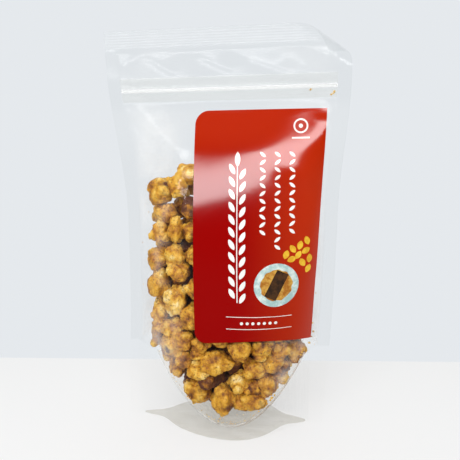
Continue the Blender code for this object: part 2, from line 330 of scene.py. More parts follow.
def model_lump(name, seed, faces):
    """One cracker of about unit radius, with the depth of its creases in an attribute."""
    dice = random.Random(seed)
    bpy.ops.object.select_all(action="DESELECT")
    bpy.ops.mesh.primitive_ico_sphere_add(subdivisions=3, radius=LUMP_CORE)
    lump = bpy.context.object
    lobes = [(Vector((0.0, 0.0, 0.0)), LUMP_CORE)]
    balls = [lump]
    count = dice.randint(4, 6)
    for k in range(count):
        rise = 1.0 - 2.0 * (k + 0.5) / count + dice.uniform(-0.15, 0.15)
        turn = k * math.pi * (3.0 - math.sqrt(5.0)) + dice.uniform(-0.6, 0.6)
        flat = math.sqrt(max(1.0 - rise * rise, 0.0))
        radius = dice.uniform(0.42, 0.62)
        place = Vector((math.cos(turn) * flat, math.sin(turn) * flat, rise))
        place *= dice.uniform(0.90, 1.10) - radius
        bpy.ops.mesh.primitive_ico_sphere_add(subdivisions=3, radius=radius, location=place)
        balls.append(bpy.context.object)
        lobes.append((place, radius))
    for ball in balls:
        ball.select_set(True)
    bpy.context.view_layer.objects.active = lump
    bpy.ops.object.join()
    lump.name = name

    def apply(kind, **settings):
        modifier = lump.modifiers.new(kind.lower(), kind)
        for key, value in settings.items():
            setattr(modifier, key, value)
        bpy.ops.object.modifier_apply(modifier=modifier.name)

    def rough(kind, size, strength, **settings):
        texture = bpy.data.textures.new(name + "_" + kind.lower(), kind)
        texture.noise_scale = size
        for key, value in settings.items():
            setattr(texture, key, value)
        apply("DISPLACE", texture=texture, strength=strength, mid_level=0.5,
              texture_coords="LOCAL")

    lump.data.transform(Matrix.Translation((seed * 3.7, seed * 1.3, 0.0)))
    apply("REMESH", mode="VOXEL", voxel_size=0.05)
    apply("SMOOTH", factor=0.5, iterations=8)
    rough("CLOUDS", 0.60, 0.40, noise_depth=1)
    rough("VORONOI", 0.28, -0.14, distance_metric="DISTANCE")
    apply("SMOOTH", factor=0.5, iterations=5)
    rough("CLOUDS", 0.11, 0.085, noise_depth=2)
    apply("DECIMATE", ratio=min(faces / max(2 * len(lump.data.polygons), 1), 1.0))
    lump.data.transform(Matrix.Translation((-seed * 3.7, -seed * 1.3, 0.0)))
    bpy.ops.object.shade_smooth()
    lump.data.update()
    lump.data.transform(Matrix.Scale(6.0 / sum(lump.dimensions), 4))
    crease = lump.data.attributes.new("crease", "FLOAT", "POINT")
    for v in lump.data.vertices:
        depths = sorted((v.co - place).length - radius for place, radius in lobes)
        crease.data[v.index].value = 1.0 - float(smooth((depths[1] - depths[0]) / 0.22))
    return lump


def settle_crackers():
    """Places, radii and shades of all crackers: those in front as listed, the others poured in."""
    listed = np.array(FRONT_CRACKERS_MM)
    wide, tall = listed[:, 2] / 2000, listed[:, 3] / 2000
    radius = (wide + tall) / 2
    x, z = listed[:, 0] / 1000, listed[:, 1] / 1000
    inward = (radius * LUMP_SHARE + listed[:, 4] / 1000) * film_slope(x, z)
    y = np.minimum(MIDDLE_Y - half_depth(x, z) + inward, MIDDLE_Y - 0.001)
    fixed = np.stack([x, y, z], 1)
    dice = np.random.RandomState(11)
    radii = dice.uniform(*CRACKER_RADIUS, FREE_CRACKERS)
    poured = np.stack([dice.uniform(-0.034, 0.036, FREE_CRACKERS),
                       dice.uniform(-0.012, 0.016, FREE_CRACKERS),
                       dice.uniform(0.012, HEAP_TOP, FREE_CRACKERS)], 1)
    places = np.concatenate([fixed, poured])
    sizes = np.concatenate([radius, radii])
    free = len(fixed)
    for step in range(SETTLING_STEPS):
        apart = places[:, None] - places[None]
        distance = np.linalg.norm(apart, axis=2) + np.eye(len(places))
        touch = (sizes[:, None] + sizes[None]) * LUMP_SHARE
        overlap = np.clip(touch - distance, 0.0, None) * (1.0 - np.eye(len(places)))
        push = (apart / distance[..., None] * overlap[..., None]).sum(1) * 0.35
        places[free:] += push[free:]
        places[free:, 2] -= 0.00012 * (1.0 - step / SETTLING_STEPS)
        px, py, pz = places[free:].T
        room = half_depth(px, np.clip(pz, 0.0, HEIGHT)) - radii * LUMP_SHARE * film_slope(px, pz)
        places[free:, 1] = MIDDLE_Y + np.clip(py - MIDDLE_Y, -np.maximum(room, 0.0),
                                              np.maximum(room, 0.0))
        squeezed = np.clip(-room, 0.0, 0.004)
        left, right = inner_edges(pz)
        places[free:, 0] += np.sign((left + right) / 2 - px) * squeezed * 0.5
        places[free:, 0] = np.clip(places[free:, 0], HEAP_LEFT + radii, HEAP_RIGHT - radii)
        in_front = smooth((MIDDLE_Y + 0.004 - places[free:, 1]) / 0.008)
        floor = gusset_height(px, places[free:, 1]) + radii * 1.05 + 0.008 * in_front
        places[free:, 2] = np.maximum(places[free:, 2], floor)
    # Free crackers deep in the middle of the heap are made darker: painted shade for the dark gaps
    # seen between the crackers in front.
    painted_heap_shade = smooth((0.011 - np.abs(places[free:, 1] - MIDDLE_Y)) / 0.004)
    painted_heap_shade *= smooth((0.112 - places[free:, 2]) / 0.010)
    painted_heap_shade *= smooth((0.030 - np.abs(places[free:, 0])) / 0.010)
    mixed = dice.normal(0.5, 0.17, FREE_CRACKERS) + 0.65 * painted_heap_shade
    shades = np.concatenate([listed[:, 5], np.clip(mixed, 0.0, 1.25)])
    scales = np.stack([wide, radius, tall], 1) / radius[:, None]
    stretch = dice.uniform(0.86, 1.16, (FREE_CRACKERS, 3))
    return places, sizes, shades, np.concatenate([scales, stretch])


def keep_inside(points):
    """Moves points that stick out through the film or the gusset back inside."""
    x, y, z = points.T
    room = half_depth(x, np.clip(z, 0.0, HEIGHT)) - FILM_CLEARANCE
    y[:] = MIDDLE_Y + np.clip(y - MIDDLE_Y, -room, room)
    z[:] = np.maximum(z, gusset_height(x, y) + FILM_CLEARANCE)


def push_inside(cracker):
    """Moves a whole cracker back where the film or the gusset would cut it."""
    points = np.zeros(3 * len(cracker.data.vertices))
    for _ in range(3):
        cracker.data.vertices.foreach_get("co", points)
        x, y, z = points.reshape(-1, 3).T
        room = half_depth(x, np.clip(z, 0.0, HEIGHT)) - FILM_CLEARANCE
        behind = max(float(np.max(MIDDLE_Y - room - y)), 0.0)
        before = max(float(np.max(y - MIDDLE_Y - room)), 0.0)
        below = max(float(np.max(gusset_height(x, y) + FILM_CLEARANCE - z)), 0.0)
        step = np.array([0.0, 0.6 * (behind - before), 0.6 * min(below, 0.003)])
        cracker.data.transform(Matrix.Translation(Vector(step)))


places, sizes, shades, scales = settle_crackers()
front_lumps = [model_lump(f"front_lump_{k}", 20 + k, FRONT_LUMP_FACES) for k in range(LUMP_KINDS)]
free_lumps = [model_lump(f"free_lump_{k}", 40 + k, FREE_LUMP_FACES) for k in range(LUMP_KINDS)]
dice = random.Random(5)
# Crackers are sorted by shade into two pieces; the darker one holds the soy-glazed crackers and
# those given painted shade deep in the heap.
heaps = {"crackers_golden": [], "crackers_glazed_and_shaded": []}
for number, (spot, size, shade, scale) in enumerate(zip(places, sizes, shades, scales)):
    lumps = front_lumps if number < len(FRONT_CRACKERS_MM) else free_lumps
    master = lumps[number % LUMP_KINDS]
    cracker = master.copy()
    cracker.data = master.data.copy()
    bpy.context.scene.collection.objects.link(cracker)
    turned = Matrix.Rotation(dice.uniform(0, math.tau), 4, "Z") @ Matrix.Rotation(
        dice.uniform(0, math.pi), 4, "X") @ Matrix.Rotation(dice.uniform(0, math.tau), 4, "Y")
    stretched = Matrix.Diagonal((*(float(s) * float(size) for s in scale), 1.0))
    cracker.data.transform(Matrix.Translation(Vector(spot)) @ stretched @ turned)
    push_inside(cracker)
    tone = cracker.data.attributes.new("shade", "FLOAT", "POINT")
    tone.data.foreach_set("value", np.full(len(cracker.data.vertices), shade, np.float32))
    heaps["crackers_glazed_and_shaded" if shade > 0.5 else "crackers_golden"].append(cracker)
for master in front_lumps + free_lumps:
    bpy.data.objects.remove(master)

rice = new_material("puffed_rice")
tree = rice.node_tree
place = add_node(tree, "ShaderNodeTexCoord").outputs["Object"]
crease = add_node(tree, "ShaderNodeAttribute", attribute_name="crease").outputs["Fac"]
shade = add_node(tree, "ShaderNodeAttribute", attribute_name="shade").outputs["Fac"]
patches = add_node(tree, "ShaderNodeTexNoise", {"Vector": place, "Scale": 150.0, "Detail": 3.0,
                                                "Roughness": 0.6}).outputs["Fac"]
grains = add_node(tree, "ShaderNodeTexNoise", {"Vector": place, "Scale": 620.0, "Detail": 4.0,
                                               "Roughness": 0.7}).outputs["Fac"]
specks = add_node(tree, "ShaderNodeTexNoise", {"Vector": place, "Scale": 900.0, "Detail": 3.0,
                                               "Roughness": 0.6}).outputs["Fac"]
glaze = add_node(tree, "ShaderNodeTexNoise", {"Vector": place, "Scale": 95.0, "Detail": 2.0,
                                              "Roughness": 0.5}).outputs["Fac"]
# The shade attribute is each cracker's own tone, plus painted shade for those deep in the heap; it
# darkens the browning and raises the soy glaze.
browning_and_shade = maths(tree, "ADD", maths(tree, "MULTIPLY", shade, 0.55), patches)
browning_and_shade = maths(tree, "ADD", browning_and_shade, maths(tree, "MULTIPLY", crease, 0.28))
browning_and_shade = maths(tree, "ADD", browning_and_shade, maths(tree, "MULTIPLY", grains, 0.75))
ramp = add_node(tree, "ShaderNodeValToRGB",
                {"Fac": maths(tree, "SUBTRACT", browning_and_shade, 0.70)})
stops = ((0.14, (0.90, 0.71, 0.34)), (0.34, (0.82, 0.52, 0.095)), (0.56, (0.68, 0.34, 0.024)),
         (0.78, (0.40, 0.15, 0.012)), (0.98, (0.11, 0.030, 0.008)))
for index, (position, colour) in enumerate(stops):
    if index < 2:
        stop = ramp.color_ramp.elements[index]
        stop.position = position
    else:
        stop = ramp.color_ramp.elements.new(position)
    stop.color = (*colour, 1.0)
speckled = mix_colour(tree, maths(tree, "MULTIPLY", ease(tree, specks, 0.56, 0.66), 0.75),
                      ramp.outputs["Color"], (0.16, 0.055, 0.016, 1.0))
soy = ease(tree, maths(tree, "ADD", glaze, maths(tree, "MULTIPLY", shade, 0.22)), 0.72, 0.84)
glazed_and_shaded = mix_colour(tree, soy, speckled, (0.11, 0.032, 0.014, 1.0))
bump = add_node(tree, "ShaderNodeBump", {"Height": maths(tree, "ADD", grains, specks),
                                         "Strength": 0.75, "Distance": 0.0005})
skin = add_node(tree, "ShaderNodeBsdfPrincipled",
                {"Base Color": glazed_and_shaded, "Roughness": 0.5, "Specular IOR Level": 0.35,
                 "Normal": bump.outputs[0]})
finish_material(tree, skin.outputs[0])

crackers = []
for name, group in heaps.items():
    bpy.ops.object.select_all(action="DESELECT")
    for cracker in group:
        cracker.select_set(True)
    bpy.context.view_layer.objects.active = group[0]
    bpy.ops.object.join()
    heap = bpy.context.object
    heap.name = name
    points = np.zeros(3 * len(heap.data.vertices))
    heap.data.vertices.foreach_get("co", points)
    points = points.reshape(-1, 3)
    keep_inside(points)
    heap.data.vertices.foreach_set("co", points.ravel())
    heap.data.update()
    heap.data.materials.clear()
    heap.data.materials.append(rice)
    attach(heap, "root")
    crackers.append(heap)


# ---- Film -------------------------------------------------------------------------------------
# Clear laminated film, 0.1 mm thick: a front and a back sheet welded up both sides and along the
# ribbed top, and a gusset folded up between them.  It lies clear on the crackers that touch it
# and looks milky where it stands off them.
COLUMNS = 96                  # between the side seals
SKIRT = 0.00028               # thickness of the skirt under the bottom seal
BASE_LIFT = 0.00005           # keeps the film's flat base clear of the table top
SKIRT_FACE = 0.12             # share of a single ply's gloss that each face of the skirt has
HEADER_TINT = (0.974, 0.978, 0.978, 1.0)    # one ply, greyer where the film lies double
ZIP_LOW, ZIP_HIGH, ZIP_RIDGE = 0.1706, 0.1820, 0.1760
ZIP_STRIP_RAISE, ZIP_RIDGE_RAISE, ZIP_RIDGE_HALF, ZIP_SLOPE = 0.00010, 0.00014, 0.0004, 0.0006
RIPPLE_DEPTH, RIPPLE_LENGTH = 0.00016, 0.031
CRIMP_RIBS, CRIMP_RELIEF = 7, 0.000036
ROLL_START = Vector((0.0310 + MIDDLE_X, MIDDLE_Y, HEIGHT))
ROLL_END = Vector((FLAT_HALF_WIDTH + MIDDLE_X, MIDDLE_Y, 0.1840))
ROLL_RADIUS = 0.0060
FILM_SINK = 0.0010            # how far the film sinks between crackers
CONTACT = 0.0060              # the film stands free where no cracker is this near
STICKER_LEFT, STICKER_RIGHT = -0.0137 + MIDDLE_X, 0.0494 + MIDDLE_X
STICKER_LOW, STICKER_HIGH = 0.0540, 0.1653

# Folds pulled into the film, in millimetres: (x, z) of both ends, half width, height (outwards)
FRONT_FOLDS_MM = (
    (-51, 166, -26, 140, 4.8, -0.8), (-47, 171, -30, 152, 3.4, 0.35),
    (-53, 164, -47.5, 129, 2.4, -0.20), (-52, 133, -47, 118, 1.6, 0.4),
    (-44, 122, -45, 60, 1.5, 0.35), (-41, 118, -43, 66, 1.0, -0.25),
    (52, 148, 50, 110, 1.3, 0.3), (49, 150, 50, 70, 1.2, -0.3),
    (-51, 186.5, -45, 190.5, 2.2, 0.33), (-45, 190.5, -38, 193.5, 2.2, 0.33),
    (-38, 193.5, -31, 189.5, 1.4, 0.22), (-31, 189.5, -22, 193.0, 1.9, 0.28),
    (-22, 193.0, -11, 192.5, 2.0, 0.30), (-8.4, 192, -2.3, 183.5, 1.3, 0.30),
    (1, 194, 14.7, 187, 2.4, 0.36), (14.7, 187, 26, 184.5, 2.4, 0.36),
    (26, 184.5, 30.3, 189.6, 1.7, 0.28), (30.3, 189.6, 39, 183.4, 1.9, 0.30),
    (35, 194.4, 44, 192.4, 0.7, 0.18), (39, 192.6, 49, 189.6, 0.7, 0.18),
    (44, 191.4, 50, 187.6, 0.8, 0.20),
    (-44, 44, -20, 12, 1.5, 0.3), (38, 44, 20, 14, 1.5, 0.3),
    (52, 161.7, 35.8, 130.5, 9.0, 1.3), (50, 157.7, 44.4, 85.3, 12.0, 1.9),
)
BACK_FOLDS_MM = (
    (-50, 167, -18, 138, 4.0, -0.9), (50, 167, 20, 138, 4.0, -0.9),
    (-46, 125, -44, 60, 1.5, 0.4), (46, 125, 45, 60, 1.5, 0.4),
    (-10, 165, -14, 120, 3.0, 0.5), (22, 160, 16, 118, 2.5, -0.5),
    (-40, 193, -25, 184, 1.8, 0.5), (-12, 192, 4, 185, 1.8, 0.5), (12, 192, 32, 184, 1.8, 0.5),
    (-44, 44, -20, 12, 1.5, 0.3), (42, 44, 22, 14, 1.5, 0.3),
)


def zip_raise(x, z):
    """Height of the zip's relief over the film."""
    left, right = inner_edges(z)
    strip = smooth((z - ZIP_LOW) / ZIP_SLOPE) * smooth((ZIP_HIGH - z) / ZIP_SLOPE)
    ridge = smooth((ZIP_RIDGE_HALF + ZIP_SLOPE - np.abs(z - ZIP_RIDGE)) / ZIP_SLOPE)
    inside = (left < x) & (x < right)
    return np.where(inside, ZIP_STRIP_RAISE * strip + ZIP_RIDGE_RAISE * ridge, 0.0)


def ripple(x, z):
    """Waves in the loose film between the zip and the top seal."""
    rise = np.sin(math.pi * np.clip((z - ZIP_HIGH) / (CRIMP_LOW - ZIP_HIGH), 0.0, 1.0))
    slant = x - MIDDLE_X + 0.6 * (z - ZIP_HIGH)
    return RIPPLE_DEPTH * rise * np.sin(2 * math.pi * slant / RIPPLE_LENGTH)


def crimp(z):
    """In-and-out of the ribs pressed into the top seal."""
    pitch = (HEIGHT - CRIMP_LOW) / CRIMP_RIBS
    return np.where(z > CRIMP_LOW,
                    CRIMP_RELIEF * np.cos(2 * math.pi * (z - CRIMP_LOW) / pitch), 0.0)


def roll_back(x, y, z):
    """Roll the corner past its slanting line backwards, as round a rod behind it."""
    line = (ROLL_END - ROLL_START).normalized()
    across_x, across_z = -line.z, line.x
    past = (x - ROLL_START.x) * across_x + (z - ROLL_START.z) * across_z
    angle = np.maximum(past, 0.0) / ROLL_RADIUS
    radius = ROLL_RADIUS - (y - MIDDLE_Y)
    shift = np.where(past > 0.0, radius * np.sin(angle) - past, 0.0)
    rolled_y = np.where(past > 0.0, MIDDLE_Y + ROLL_RADIUS - radius * np.cos(angle), y)
    return x + across_x * shift, rolled_y, z + across_z * shift


def folds(x, z, table_mm):
    """Height of all the folds in a table at each point."""
    height = np.zeros_like(x)
    for x0, z0, x1, z1, half, rise in table_mm:
        along_x, along_z = (x1 - x0) / 1000, (z1 - z0) / 1000
        length = math.hypot(along_x, along_z)
        dx, dz = x - x0 / 1000, z - z0 / 1000
        t = (dx * along_x + dz * along_z) / length**2
        aside = (dx * along_z - dz * along_x) / length / (half / 1000)
        ends = smooth((t + 0.15) / 0.3) * smooth((1.15 - t) / 0.3)
        height += rise / 1000 * np.exp(-aside**2) * ends
    return height


def film_rows():
    """Heights of the film's rows of points, closer where it has relief."""
    foot_and_belly = np.linspace(0.0, 0.164, 128)
    shoulder = np.linspace(0.164, ZIP_LOW, 7)[1:]
    ridge_out = ZIP_RIDGE_HALF + ZIP_SLOPE
    zip_rows = [ZIP_LOW + ZIP_SLOPE / 2, ZIP_LOW + ZIP_SLOPE, ZIP_RIDGE - 0.003,
                ZIP_RIDGE - ridge_out, ZIP_RIDGE - ridge_out + ZIP_SLOPE / 2,
                ZIP_RIDGE - ZIP_RIDGE_HALF, ZIP_RIDGE, ZIP_RIDGE + ZIP_RIDGE_HALF,
                ZIP_RIDGE + ridge_out - ZIP_SLOPE / 2, ZIP_RIDGE + ridge_out,
                ZIP_RIDGE + 0.004, ZIP_HIGH - ZIP_SLOPE, ZIP_HIGH - ZIP_SLOPE / 2, ZIP_HIGH]
    loose = np.linspace(ZIP_HIGH, CRIMP_LOW, 18)[1:]
    ribs = np.linspace(CRIMP_LOW, HEIGHT, 6 * CRIMP_RIBS + 1)[1:]
    return np.concatenate([foot_and_belly, shoulder, zip_rows, loose, ribs])


def film_columns(z):
    """X of each column of points: across both side seals and closer near their edges."""
    left, right = inner_edges(z)
    t = np.linspace(-1.0, 1.0, COLUMNS + 1)
    inner = (left + right) / 2 + (right - left) / 2 * (0.6 * np.sin(math.pi / 2 * t) + 0.4 * t)
    outer = half_width(z)
    seal = np.linspace(0.0, 1.0, 4)
    low_side = centre_line(z) - outer + (left - centre_line(z) + outer) * seal[:-1]
    high_side = right + (centre_line(z) + outer - right) * seal[1:]
    return np.concatenate([low_side, inner, high_side])


def soften(grid, times):
    """Averages each point of a grid with its neighbours, so many times."""
    for _ in range(times):
        padded = np.pad(grid, 1, mode="edge")
        grid = (padded[:-2, 1:-1] + padded[2:, 1:-1] + padded[1:-1, :-2] + padded[1:-1, 2:]
                + 2 * grid) / 6
    return grid


rows_z = film_rows()
film_x = np.array([film_columns(z) for z in rows_z])
film_z = np.repeat(rows_z[:, None], film_x.shape[1], axis=1)
heap_trees = [BVHTree.FromObject(heap, bpy.context.evaluated_depsgraph_get())
              for heap in crackers]


def distance_to_crackers(x, y, z):
    gaps = np.full(x.shape, CONTACT)
    for index in np.ndindex(x.shape):
        if z[index] > 0.158:
            continue
        point = Vector((x[index], y[index], z[index]))
        for heap_tree in heap_trees:
            found = heap_tree.find_nearest(point, CONTACT)
            if found[3] is not None:
                gaps[index] = min(gaps[index], found[3])
    return gaps


def under_sticker(x, z):
    """1 where the sticker stiffens the front film, and 0 away from it."""
    edge = 0.003
    return (smooth((x - STICKER_LEFT + edge) / edge) * smooth((STICKER_RIGHT + edge - x) / edge)
            * smooth((z - STICKER_LOW + edge) / edge) * smooth((STICKER_HIGH + edge - z) / edge))


def film_form(side, table_mm):
    """Grids of the film's y and haze; side is -1 for the front and 1 for the back."""
    x, z = film_x, film_z
    form = half_depth(x, z)
    gaps = soften(distance_to_crackers(x, MIDDLE_Y + side * form, z), 1)
    free = np.minimum(smooth((form - SEAL_HALF) / 0.004), smooth((z - bottom_seal(x)) / 0.006))
    sink = soften(FILM_SINK * smooth(gaps / CONTACT), 3) * free * smooth((0.150 - z) / 0.02)
    if side < 0:
        sink = sink * (1.0 - under_sticker(x, z))
    pulled = folds(x, z, table_mm) * smooth((form - SEAL_HALF) / 0.0008)
    y = MIDDLE_Y + side * (form - sink + pulled + zip_raise(x, z)) + ripple(x, z) + crimp(z)
    left, right = inner_edges(z)
    towards_edge = smooth((np.abs(2 * x - left - right) / (right - left) - 0.30) / 0.45)
    stand_off = smooth((gaps - 0.0008) / 0.0045)
    low_sides = towards_edge * smooth((0.085 - z) / 0.04)
    haze = free * np.maximum(stand_off * (0.03 + 0.62 * towards_edge),
                             low_sides * (1.05 + 0.35 * stand_off))
    return y, haze


def film_sheet(name, side, table_mm):
    """A flat blank of film, drawn out into the front or the back of the pouch."""
    rows, columns = film_x.shape
    bpy.ops.object.select_all(action="DESELECT")
    bpy.ops.mesh.primitive_grid_add(x_subdivisions=columns - 1, y_subdivisions=rows - 1, size=1.0)
    sheet = bpy.context.object
    sheet.name = name
    y, haze = film_form(side, table_mm)
    x, y, z = roll_back(film_x, y, film_z)
    sheet.data.vertices.foreach_set("co", np.stack([x, y, z], -1).ravel())
    milky = sheet.data.attributes.new("haze", "FLOAT", "POINT")
    milky.data.foreach_set("value", haze.ravel().astype(np.float32))
    sheet.data.update()
    return sheet


def gusset_cutter():
    """The open space under the gusset, between the front and back skirts."""
    stations, wall_steps, gusset_steps = 73, 9, 26
    left, right = (float(edge) for edge in inner_edges(0.0))
    t = np.linspace(-1.0, 1.0, stations)
    reach = (right - left) / 2 - 0.0012
    xs = (left + right) / 2 + reach * np.sin(math.pi / 2 * t)
    rings = []
    for x in xs:
        seal = float(bottom_seal(x))
        heights = seal * np.linspace(0.0, 1.0, wall_steps + 1)
        wall = np.maximum(half_depth(np.full_like(heights, x), heights) - SKIRT, 0.00015)
        share = 1.0 - np.arange(1, gusset_steps) / gusset_steps
        roof_y = wall[-1] * share
        roof_z = seal - max(float(gusset_sag(x)), 0.0002) * (1.0 - share**2)
        half_y = np.concatenate([[wall[0]], wall, roof_y])
        half_z = np.concatenate([[-0.002], np.maximum(np.append(heights, roof_z), -0.001)])
        ring_y = np.concatenate([-half_y, half_y[::-1]]) + MIDDLE_Y
        ring_z = np.concatenate([half_z, half_z[::-1]])
        rings.append(np.stack([np.full_like(ring_y, x), ring_y, ring_z], -1))
    rings = np.array(rings)
    closed = np.concatenate([rings, rings[:, :1]], axis=1)
    bpy.ops.object.select_all(action="DESELECT")
    bpy.ops.mesh.primitive_grid_add(x_subdivisions=closed.shape[1] - 1,
                                    y_subdivisions=stations - 1, size=1.0)
    cutter = bpy.context.object
    cutter.name = "gusset_space"
    cutter.data.vertices.foreach_set("co", closed.ravel())
    cutter.data.update()
    bpy.ops.object.mode_set(mode="EDIT")
    bpy.ops.mesh.select_all(action="SELECT")
    bpy.ops.mesh.remove_doubles(threshold=1e-6)
    bpy.ops.mesh.select_all(action="DESELECT")
    bpy.ops.mesh.select_mode(type="EDGE")
    bpy.ops.mesh.select_non_manifold()
    bpy.ops.mesh.fill_holes(sides=0)
    bpy.ops.mesh.select_all(action="SELECT")
    bpy.ops.mesh.normals_make_consistent(inside=False)
    bpy.ops.object.mode_set(mode="OBJECT")
    return cutter


film = film_sheet("film", -1, FRONT_FOLDS_MM)
back_sheet = film_sheet("back_sheet", 1, BACK_FOLDS_MM)
film.select_set(True)
bpy.context.view_layer.objects.active = film
bpy.ops.object.join()
bpy.ops.object.mode_set(mode="EDIT")
bpy.ops.mesh.select_mode(type="EDGE")
bpy.ops.mesh.select_all(action="DESELECT")
bpy.ops.mesh.select_non_manifold()
bpy.ops.mesh.bridge_edge_loops()
bpy.ops.mesh.select_all(action="SELECT")
bpy.ops.mesh.normals_make_consistent(inside=False)
bpy.ops.object.mode_set(mode="OBJECT")
cutter = gusset_cutter()
bpy.ops.object.select_all(action="DESELECT")
film.select_set(True)
bpy.context.view_layer.objects.active = film
hollow = film.modifiers.new("hollow", "BOOLEAN")
hollow.operation, hollow.solver, hollow.object = "DIFFERENCE", "EXACT", cutter
bpy.ops.object.modifier_apply(modifier="hollow")
bpy.data.objects.remove(cutter)
bpy.ops.object.shade_smooth_by_angle(angle=math.radians(50))

points = np.zeros(3 * len(film.data.vertices))
film.data.vertices.foreach_get("co", points)
points = points.reshape(-1, 3)
points[:, 2] = np.maximum(points[:, 2], BASE_LIFT)
film.data.vertices.foreach_set("co", points.ravel())
film.data.update()
centres = np.array([face.center for face in film.data.polygons])
downward = np.array([face.normal.z for face in film.data.polygons]) < -0.15
on_gusset = np.abs(centres[:, 2] - gusset_height(centres[:, 0], centres[:, 1])) < 0.0006
within = np.abs(centres[:, 0] - SEAL_DIP_X) < math.sqrt((SEAL_TOP - SEAL_DIP) / SEAL_RISE)
gusset_faces = downward & on_gusset & within

clear_film = new_material("clear_film")
tree = clear_film.node_tree
place = add_node(tree, "ShaderNodeTexCoord").outputs["Object"]
haze = add_node(tree, "ShaderNodeAttribute", attribute_name="haze").outputs["Fac"]
smears = add_node(tree, "ShaderNodeTexNoise", {"Vector": place, "Scale": 60.0, "Detail": 4.0,
                                               "Roughness": 0.6}).outputs["Fac"]
dull = maths(tree, "MULTIPLY", haze, ease(tree, smears, 0.30, 0.70))
axes = add_node(tree, "ShaderNodeSeparateXYZ", {0: place})
aside = maths(tree, "SUBTRACT", axes.outputs["X"], SEAL_DIP_X)
curve = maths(tree, "MULTIPLY", maths(tree, "MULTIPLY", aside, aside), SEAL_RISE)
seal_height = maths(tree, "MINIMUM", maths(tree, "ADD", curve, SEAL_DIP), SEAL_TOP)
above_skirt = ease(tree, maths(tree, "SUBTRACT", axes.outputs["Z"], seal_height), -0.0005, 0.0005)
one_face = maths(tree, "ADD", maths(tree, "MULTIPLY", above_skirt, 1.0 - SKIRT_FACE), SKIRT_FACE)
milk_share = maths(tree, "ADD", maths(tree, "MULTIPLY", dull, 0.28), 0.002)
facing = add_node(tree, "ShaderNodeLayerWeight", {"Blend": 0.5}).outputs["Facing"]
gloss_share = maths(tree, "ADD", maths(tree, "MULTIPLY", maths(tree, "POWER", facing, 4.5), 0.5),
                    0.022)
clear = mix_colour(tree, above_skirt, (0.999, 0.999, 0.998, 1.0), (0.992, 0.994, 0.992, 1.0))
at_header = ease(tree, axes.outputs["Z"], 0.163, 0.172)
clear = mix_colour(tree, at_header, clear, HEADER_TINT)
through = add_node(tree, "ShaderNodeBsdfTransparent", {"Color": clear})
creased = ease(tree, axes.outputs["Z"], 0.134, 0.158)
header_gloss = maths(tree, "SUBTRACT", 1.0, maths(tree, "MULTIPLY", creased, 0.55))
gloss_share = maths(tree, "MULTIPLY", gloss_share, header_gloss)
rib_turn = maths(tree, "MULTIPLY", axes.outputs["Z"], math.tau * CRIMP_RIBS / (HEIGHT - CRIMP_LOW))
ribbed = ease(tree, maths(tree, "SINE", rib_turn), 0.2, 0.9)
pressed = maths(tree, "MULTIPLY", ease(tree, axes.outputs["Z"], CRIMP_LOW, CRIMP_LOW + 0.0004),
                maths(tree, "ADD", maths(tree, "MULTIPLY", ribbed, 0.035), 0.004))
milk_share = maths(tree, "ADD", milk_share, pressed)
shine = add_node(tree, "ShaderNodeBsdfPrincipled",
                 {"Base Color": (0.9, 0.9, 0.9, 1.0), "Metallic": 1.0,
                  "Roughness": maths(tree, "ADD", maths(tree, "MULTIPLY", creased, 0.05), 0.11)})
milk = add_node(tree, "ShaderNodeBsdfDiffuse", {"Color": (0.93, 0.92, 0.90, 1.0)})
glossy_film = add_node(tree, "ShaderNodeMixShader",
                       {0: maths(tree, "MULTIPLY", gloss_share, one_face),
                        1: through.outputs[0], 2: shine.outputs[0]})
surface = add_node(tree, "ShaderNodeMixShader",
                   {0: maths(tree, "MULTIPLY", milk_share, one_face),
                    1: glossy_film.outputs[0], 2: milk.outputs[0]})
finish_material(tree, surface.outputs[0])

milky_film = new_material("milky_film")
tree = milky_film.node_tree
place = add_node(tree, "ShaderNodeTexCoord").outputs["Object"]
creases = add_node(tree, "ShaderNodeTexNoise", {"Vector": place, "Scale": 160.0, "Detail": 4.0,
                                                "Roughness": 0.6}).outputs["Fac"]
through = add_node(tree, "ShaderNodeBsdfTransparent", {"Color": (0.975, 0.970, 0.955, 1.0)})
glow = add_node(tree, "ShaderNodeBsdfTranslucent", {"Color": (0.96, 0.93, 0.88, 1.0)})
share = maths(tree, "ADD", maths(tree, "MULTIPLY", ease(tree, creases, 0.35, 0.65), 0.25), 0.30)
surface = add_node(tree, "ShaderNodeMixShader",
                   {0: share, 1: through.outputs[0], 2: glow.outputs[0]})
finish_material(tree, surface.outputs[0])
film.data.materials.clear()
film.data.materials.append(clear_film)
film.data.materials.append(milky_film)
film.data.polygons.foreach_set("material_index", gusset_faces.astype(np.int32))
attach(film, "root")
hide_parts("pouch")


# ---- Crumbs -----------------------------------------------------------------------------------
# Flakes broken off the crackers.  Some cling to the inside of the front film, and the finest lie
# along the bottom seal.
DUST_RADIUS = (0.00012, 0.00030)
DUST_COUNT = 150
CRUMB_REACH = 1.3             # an angular flake reaches this many radii
CRUMB_GAP, ZIP_GAP = 0.00010, 0.00065
SEAL_ROOM, SIDE_ROOM = 0.0004, 0.0016    # from the bottom and side seals to a crumb

